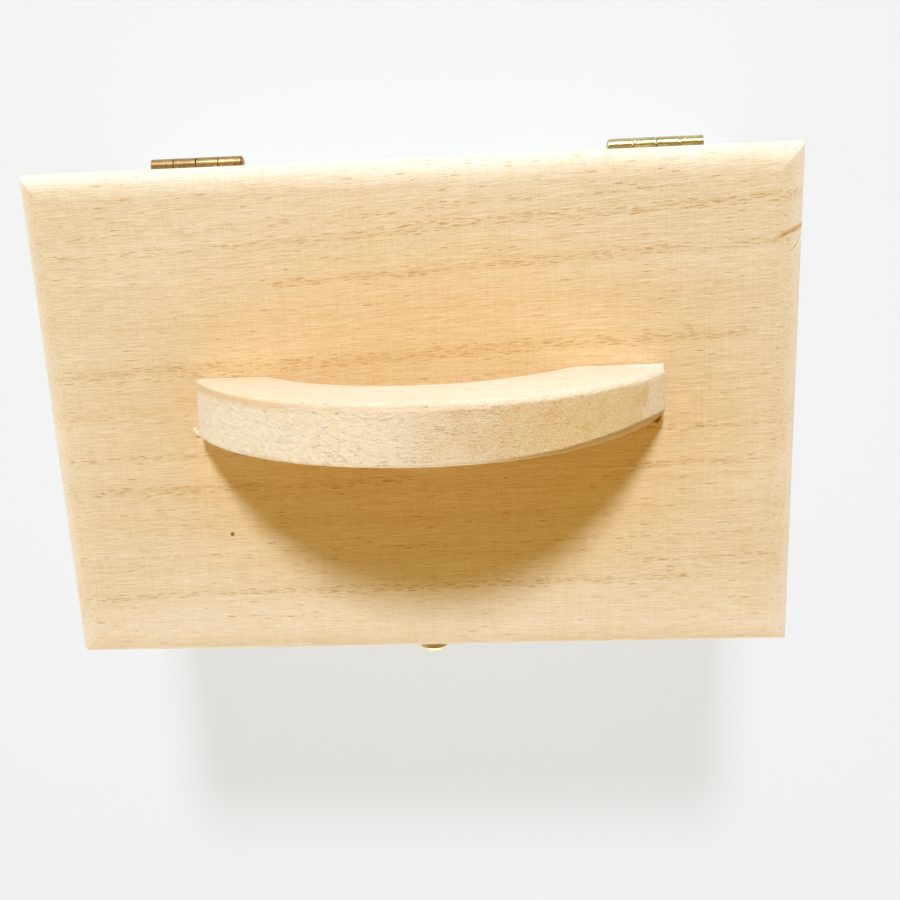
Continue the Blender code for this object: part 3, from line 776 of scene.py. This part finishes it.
# how far each long edge is taken off at a place on the outline, front edge first
def edgeEasing(x, z, stretch, halfLength):
    shape = handleShape
    toRight = softStep(x, -0.1 * halfLength, halfLength)
    narrow, wide, lateness = shape["frontEase"]
    front = narrow + (wide - narrow) * toRight ** lateness
    uneven = shape["unevenEase"] * noise.noise(Vector((x / (5 * mm), 7.0, 0.0)))
    leftEase, middleEase, rightEase = shape["backEase"]
    back = leftEase + (middleEase - leftEase) * softStep(x, -halfLength, -0.35 * halfLength)
    back += (rightEase - middleEase) * softStep(x, 0.2 * halfLength, halfLength)
    if stretch == "outer":
        return (front + uneven) * mm, back * (1 + uneven) * mm
    if stretch == "end":
        return (front if x > 0 else shape["leftEndEase"]) * mm, back * mm
    if stretch == "inner":
        return shape["gapEase"] * mm, shape["gapEase"] * mm
    nearRight = softStep(x, halfLength - 3.5 * mm, halfLength)
    return (shape["footEase"] + (front - shape["footEase"]) * nearRight) * mm, shape["footEase"] * mm


def outlineNormals(outline):
    normals = []
    for index in range(len(outline)):
        before, after = outline[index - 1], outline[(index + 1) % len(outline)]
        run = Vector((after[0] - before[0], after[1] - before[1])).normalized()
        normals.append(Vector((-run.y, run.x)))     # the outline runs clockwise, so this faces out
    return normals


# hollows left by the saw, and small tool marks along the edge next to the hinges
def sawWaves(x, y, halfLength, backY):
    shape = handleShape
    along, across = (size * mm for size in shape["wobbleSize"])
    wave = 0.5 + 0.5 * noise.noise(Vector((x / along, y / across, 1.7)))
    along, across = (size * mm for size in shape["toolMarkSize"])
    mark = max(0.0, noise.noise(Vector((x / along, y / across, 4.2))) - 0.18)
    start, whole, thinning, end = (backY - inward * mm for inward in shape["toolMarkBand"])
    near = softStep(y, start, whole) * (1 - softStep(y, thinning, end))
    strength = 0.25 + 0.75 * softStep(x, -0.5 * halfLength, 0.2 * halfLength)
    return (shape["wobble"] * wave + shape["toolMarks"] * mark * near * strength) * mm


def buildHandle(finish):
    shape = handleShape
    low, high = handleLow, handleHigh
    middleX = (low.x + high.x) / 2
    halfLength = (high.x - low.x) / 2
    outline = bowOutline(halfLength, high.z - low.z)
    normals = outlineNormals(outline)
    form = bmesh.new()
    rings = []

    def addRing(spot):
        ring = []
        for (x, z, stretch), normal in zip(outline, normals):
            offset, y = spot(*edgeEasing(x, z, stretch, halfLength))
            if stretch == "outer":
                offset += sawWaves(x, y, halfLength, high.y)
            skew = shape["leftSkew"] * mm * softStep(-x, 0.6 * halfLength, halfLength)
            skew *= (y - low.y) / (high.y - low.y)
            height = low.z + max(0.0, z - normal.y * offset)
            ring.append(form.verts.new((middleX + x - normal.x * offset + skew, y, height)))
        rings.append(ring)

    steps = shape["easeSteps"]
    for step in range(steps):     # front edge, nearly a flat chamfer
        t = step / steps
        addRing(lambda front, back: (front * (1 - t) - 0.12 * front * math.sin(math.pi * t),
                                     low.y + front * t))
    for step in range(shape["acrossSteps"] + 1):
        t = step / shape["acrossSteps"]
        addRing(lambda front, back: (0.0, low.y + front + (high.y - back - low.y - front) * t))
    for step in range(1, steps + 1):     # edge next to the hinges, rounded over
        turn = math.pi / 2 * step / steps
        addRing(lambda front, back: (back * (1 - math.cos(turn)), high.y - back + back * math.sin(turn)))
    skin(form, rings)
    form.faces.new(rings[0])
    form.faces.new(rings[-1][::-1])
    handle = pieceFrom("bowHandle", form, finish, 40.0)
    holes = bmesh.new()
    radius, gap = fitLook["screwHole"] * mm, fitLook["gap"] * mm
    for side in ("left", "right"):
        screw, length = middleOf("handle_screw_" + side, "z")
        addCone(holes, screw, radius, radius, length + 2 * gap)
    carve(handle, pieceFrom("footHoles", holes, None), 40.0)
    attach(handle, "lid")
    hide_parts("handle")
    return handle


# a bead of glue squeezed out beside the left foot
glueLook = {
    "lobes": ((-1.5, 0.80, 0.58), (-1.15, 0.15, 0.70)),     # x, y and radius, from the foot's front corner
    "rise": 0.12,
    "flatness": 0.8,
    "swell": 0.22,
    "swellSize": 0.45,
    "voxel": 0.06,
    "dark": (0.80, 0.58, 0.28),
    "pale": (0.93, 0.85, 0.66),
}


def glueFinish():
    material, tree, shader, place = newFinish("driedGlue")
    cloud = blotches(tree, place, (0.5, 0.5, 0.5), 2.0, 0.6, 1.0)
    colour = ramp(tree, cloud, [(0.3, glueLook["dark"]), (0.7, glueLook["pale"])])
    tree.links.new(colour, shader.inputs["Base Color"])
    tree.links.new(scaled(tree, cloud, 0.25, 0.2), shader.inputs["Roughness"])
    pressIn(tree, shader, times(tree, cloud, 0.05))
    return material


def buildGlue(finish):
    look = glueLook
    foot = Vector((handleLow.x, handleLow.y, lidHigh.z))
    form = bmesh.new()
    for index, (x, y, radius) in enumerate(look["lobes"]):
        made = bmesh.ops.create_icosphere(form, subdivisions=3, radius=radius * mm)["verts"]
        centre = foot + Vector((x, y, look["rise"])) * mm
        for vert in made:
            draw = noise.noise(vert.co / (look["swellSize"] * mm) + Vector((index * 5.0, 0, 0)))
            lobe = vert.co * (1 + look["swell"] * draw)
            vert.co = Vector((lobe.x, lobe.y, lobe.z * look["flatness"])) + centre
    bead = pieceFrom("glueBead", form, finish, 60.0)
    fuse = bead.modifiers.new("fuse", "REMESH")
    fuse.mode = "VOXEL"
    fuse.voxel_size = look["voxel"] * mm
    smooth = bead.modifiers.new("smooth", "SMOOTH")
    smooth.iterations = 6
    bead.data = shapeWithModifiers(bead)
    bead.data.shade_smooth()
    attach(bead, "lid")
    return bead


# brass, unless a fitting changes it; sizes in mm
brassLook = {
    "bright": (0.82, 0.66, 0.34),
    "even": (0.62, 0.46, 0.18),
    "dark": (0.22, 0.13, 0.04),
    "toneStops": (0.15, 0.5, 0.95),
    "tarnish": 0.45,
    "cloudSize": (2.6, 1.4, 1.4),
    "spotSize": (0.9, 0.9, 0.9),
    "scratch": (9.0, 0.14, 0.14),         # drawn along the barrel
    "metallic": 1.0,
    "roughness": 0.30,
    "dent": 0.03,
    "seed": 0.0,
}

fittingLooks = {
    "antiqueHinge": {"bright": (0.76, 0.60, 0.33), "even": (0.42, 0.29, 0.12), "dark": (0.12, 0.07, 0.02),
                     "tarnish": 0.75, "roughness": 0.34, "seed": 2.0},
    "brightHinge": {"bright": (0.88, 0.80, 0.50), "even": (0.56, 0.48, 0.22), "dark": (0.18, 0.14, 0.05),
                    "tarnish": 0.5, "roughness": 0.24, "seed": 6.0},
    "polishedCatch": {"bright": (0.99, 0.93, 0.68), "even": (0.96, 0.85, 0.52), "dark": (0.60, 0.46, 0.19),
                      "metallic": 0.85, "tarnish": 0.2, "scratch": (0.12, 0.12, 4.0), "roughness": 0.30,
                      "dent": 0.006, "seed": 11.0},
    "zincScrew": {"bright": (0.74, 0.75, 0.76), "even": (0.60, 0.61, 0.62), "dark": (0.30, 0.31, 0.31),
                  "tarnish": 0.4, "scratch": (0.3, 0.3, 2.0), "roughness": 0.36, "dent": 0.01, "seed": 17.0},
}


def metalFinish(name):
    look = {**brassLook, **fittingLooks[name]}
    seed = look["seed"]
    material, tree, shader, place = newFinish(name)
    cloud = blotches(tree, place, look["cloudSize"], 4.0, 0.62, seed)
    drawn = blotches(tree, place, look["scratch"], 3.0, 0.6, seed + 2)
    spots, draw, _ = specks(tree, place, look["spotSize"], 0.12, 0.42, seed)
    spots = times(tree, spots, number(tree, "LESS_THAN", draw, look["tarnish"] * 0.5))
    tone = scaled(tree, drawn, 0.5, scaled(tree, cloud, 1.1, -0.30))
    colour = ramp(tree, tone, list(zip(look["toneStops"], (look["bright"], look["even"], look["dark"]))))
    colour = tint(tree, times(tree, spots, look["tarnish"]), colour, look["dark"])
    tree.links.new(colour, shader.inputs["Base Color"])
    shader.inputs["Metallic"].default_value = look["metallic"]
    rough = scaled(tree, tone, 0.30, look["roughness"] - 0.12)
    tree.links.new(scaled(tree, spots, 0.25, rough, clamp=True), shader.inputs["Roughness"])
    height = scaled(tree, drawn, 0.012, times(tree, cloud, look["dent"]))
    pressIn(tree, shader, scaled(tree, spots, -0.012, height))
    return material


# finishes on the pieces that keep their own shape
def dress(names, finish):
    for name in names:
        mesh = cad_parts[name].data
        if not mesh.materials:
            mesh.materials.append(finish)
        for index in range(len(mesh.materials)):
            mesh.materials[index] = finish


boxLooks = {
    "front_wall": {"axes": "XZY", "tilt": (0.012, 0.0), "seed": 13.0},
    "back_wall": {"axes": "XZY", "tilt": (-0.02, 0.0), "seed": 21.0},
    "left_wall": {"axes": "YZX", "tilt": (0.02, 0.0), "seed": 34.0},
    "right_wall": {"axes": "YZX", "tilt": (-0.015, 0.0), "seed": 42.0},
    "bottom_board": {"axes": "XYZ", "tilt": (0.01, 0.0), "seed": 55.0, "finePores": 0.5},
}


def dressBox():
    for name, changes in boxLooks.items():
        dress([name], woodFinish("sanded_" + name, **changes))


def dressMetal():
    for side, look in (("left", "antiqueHinge"), ("right", "brightHinge")):
        nails = [f"{side}_hinge_{nail}" for nail in ("lid_nail_left", "lid_nail_right",
                                                     "box_nail_left", "box_nail_right")]
        leaves = [side + "_hinge_lid_leaf", side + "_hinge_box_leaf"]
        dress(leaves + [side + "_hinge_pin"] + nails, metalFinish(look))
    dress(["catch_stud", "hook_pivot_nail", "catch_hook"], metalFinish("polishedCatch"))
    dress(["handle_screw_left", "handle_screw_right"], metalFinish("zincScrew"))


studioLook = {
    "keyHeight": 38.5,                    # degrees above the table, straight behind the box
    "keyDistance": 4.0,
    "keySize": 0.72,
    "keyPower": 138.0,
    "keyColour": (0.93, 1.01, 1.21),
    "walls": (0.86, 0.86, 0.87),          # the room from its horizon up to its ceiling
    "ceiling": (0.45, 0.265, 0.010),
    "wallsEnd": 0.10,
    "ceilingStart": 0.30,
    "horizonEnd": 0.08,
    "frontGain": 5.6,                     # how much brighter the horizon is in front, and to the left
    "frontLimit": 0.15,
    "leftGain": 0.55,
    "backdrop": (0.895, 0.900, 0.905),
    "floorGlow": 0.64,
    "floorGlowColour": (0.915, 0.980, 1.045),
    "floorColour": (0.30, 0.30, 0.30),
    "floorRoughness": 0.9,
    "floorSpecular": 0.1,
    "floorRadius": 6.0,                   # metres
}


def setRoom(look):
    world = bpy.data.worlds.new("softRoom")
    scene.world = world
    world.use_nodes = True
    tree = world.node_tree
    background = tree.nodes["Background"]
    sideways, backward, upward = split(tree, addNode(tree, "ShaderNodeTexCoord").outputs["Generated"])
    room = ramp(tree, upward, [(look["wallsEnd"], look["walls"]), (look["ceilingStart"], look["ceiling"])])
    gain = scaled(tree, number(tree, "MINIMUM", backward, look["frontLimit"]), -look["frontGain"], 1.0)
    gain = scaled(tree, sideways, -look["leftGain"], gain)
    fromHorizon = fade(tree, upward, look["horizonEnd"], look["ceilingStart"])
    strength = addNode(tree, "ShaderNodeMix", {"Factor": fromHorizon})
    feed(tree, strength.inputs[2], gain)
    feed(tree, strength.inputs[3], 1.0)
    feed(tree, background.inputs["Color"], room)
    feed(tree, background.inputs["Strength"], strength.outputs[0])

    # the room lights the box, but what is seen behind it is one plain pale colour
    backdrop = addNode(tree, "ShaderNodeBackground", {"Color": look["backdrop"], "Strength": 1.0})
    seen = addNode(tree, "ShaderNodeLightPath").outputs["Is Camera Ray"]
    both = addNode(tree, "ShaderNodeMixShader", {"Fac": seen})
    feed(tree, both.inputs[1], background.outputs[0])
    feed(tree, both.inputs[2], backdrop.outputs[0])
    feed(tree, tree.nodes["World Output"].inputs["Surface"], both.outputs[0])


def setWindow(look):
    lamp = bpy.data.lights.new("window", "AREA")
    lamp.shape = "DISK"
    lamp.size = look["keySize"]
    lamp.energy = look["keyPower"]
    lamp.color = look["keyColour"]
    window = bpy.data.objects.new("window", lamp)
    lift = math.radians(look["keyHeight"])
    towards = Vector((0, math.cos(lift), math.sin(lift)))
    window.location = Vector((0, 0, lidHigh.z)) + towards * look["keyDistance"]
    window.rotation_euler = towards.to_track_quat("Z", "Y").to_euler()
    scene.collection.objects.link(window)


def setTable(look):
    form = bmesh.new()
    bmesh.ops.create_circle(form, cap_ends=True, segments=96, radius=look["floorRadius"])
    material = bpy.data.materials.new("paleTable")
    material.use_nodes = True
    shader = material.node_tree.nodes["Principled BSDF"]
    shader.inputs["Base Color"].default_value = (*look["floorColour"], 1.0)
    shader.inputs["Roughness"].default_value = look["floorRoughness"]
    shader.inputs["Specular IOR Level"].default_value = look["floorSpecular"]
    shader.inputs["Emission Color"].default_value = (*look["floorGlowColour"], 1.0)
    shader.inputs["Emission Strength"].default_value = look["floorGlow"]
    pieceFrom("table", form, material)


cameraLook = {
    "overLid": (19.78, 49.48, 215.3),     # mm from the middle of the lid's top
    "turns": (-14.723, 2.764, -2.428),    # degrees about x, y and z
    "lens": 42.0,
    "sensor": 36.0,
    "clipStart": 0.01,
}


def setCamera():
    camera = bpy.data.cameras.new("camera")
    camera.lens = cameraLook["lens"]
    camera.sensor_width = cameraLook["sensor"]
    camera.clip_start = cameraLook["clipStart"]
    viewer = bpy.data.objects.new("camera", camera)
    lidMiddle = Vector(((lidLow.x + lidHigh.x) / 2, (lidLow.y + lidHigh.y) / 2, lidHigh.z))
    viewer.location = lidMiddle + Vector(cameraLook["overLid"]) * mm
    viewer.rotation_euler = [math.radians(angle) for angle in cameraLook["turns"]]
    scene.collection.objects.link(viewer)
    scene.camera = viewer


lidLow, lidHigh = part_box("lid_board")
handleLow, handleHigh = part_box("handle")

scene.view_settings.view_transform = "Standard"
setCamera()
setRoom(studioLook)
setWindow(studioLook)
setTable(studioLook)
print("studio set")
buildLid(lidFinish())
print("lid board made")
buildHandle(handleFinish())
buildGlue(glueFinish())
print("handle made")
dressBox()
dressMetal()
print("finishes on")
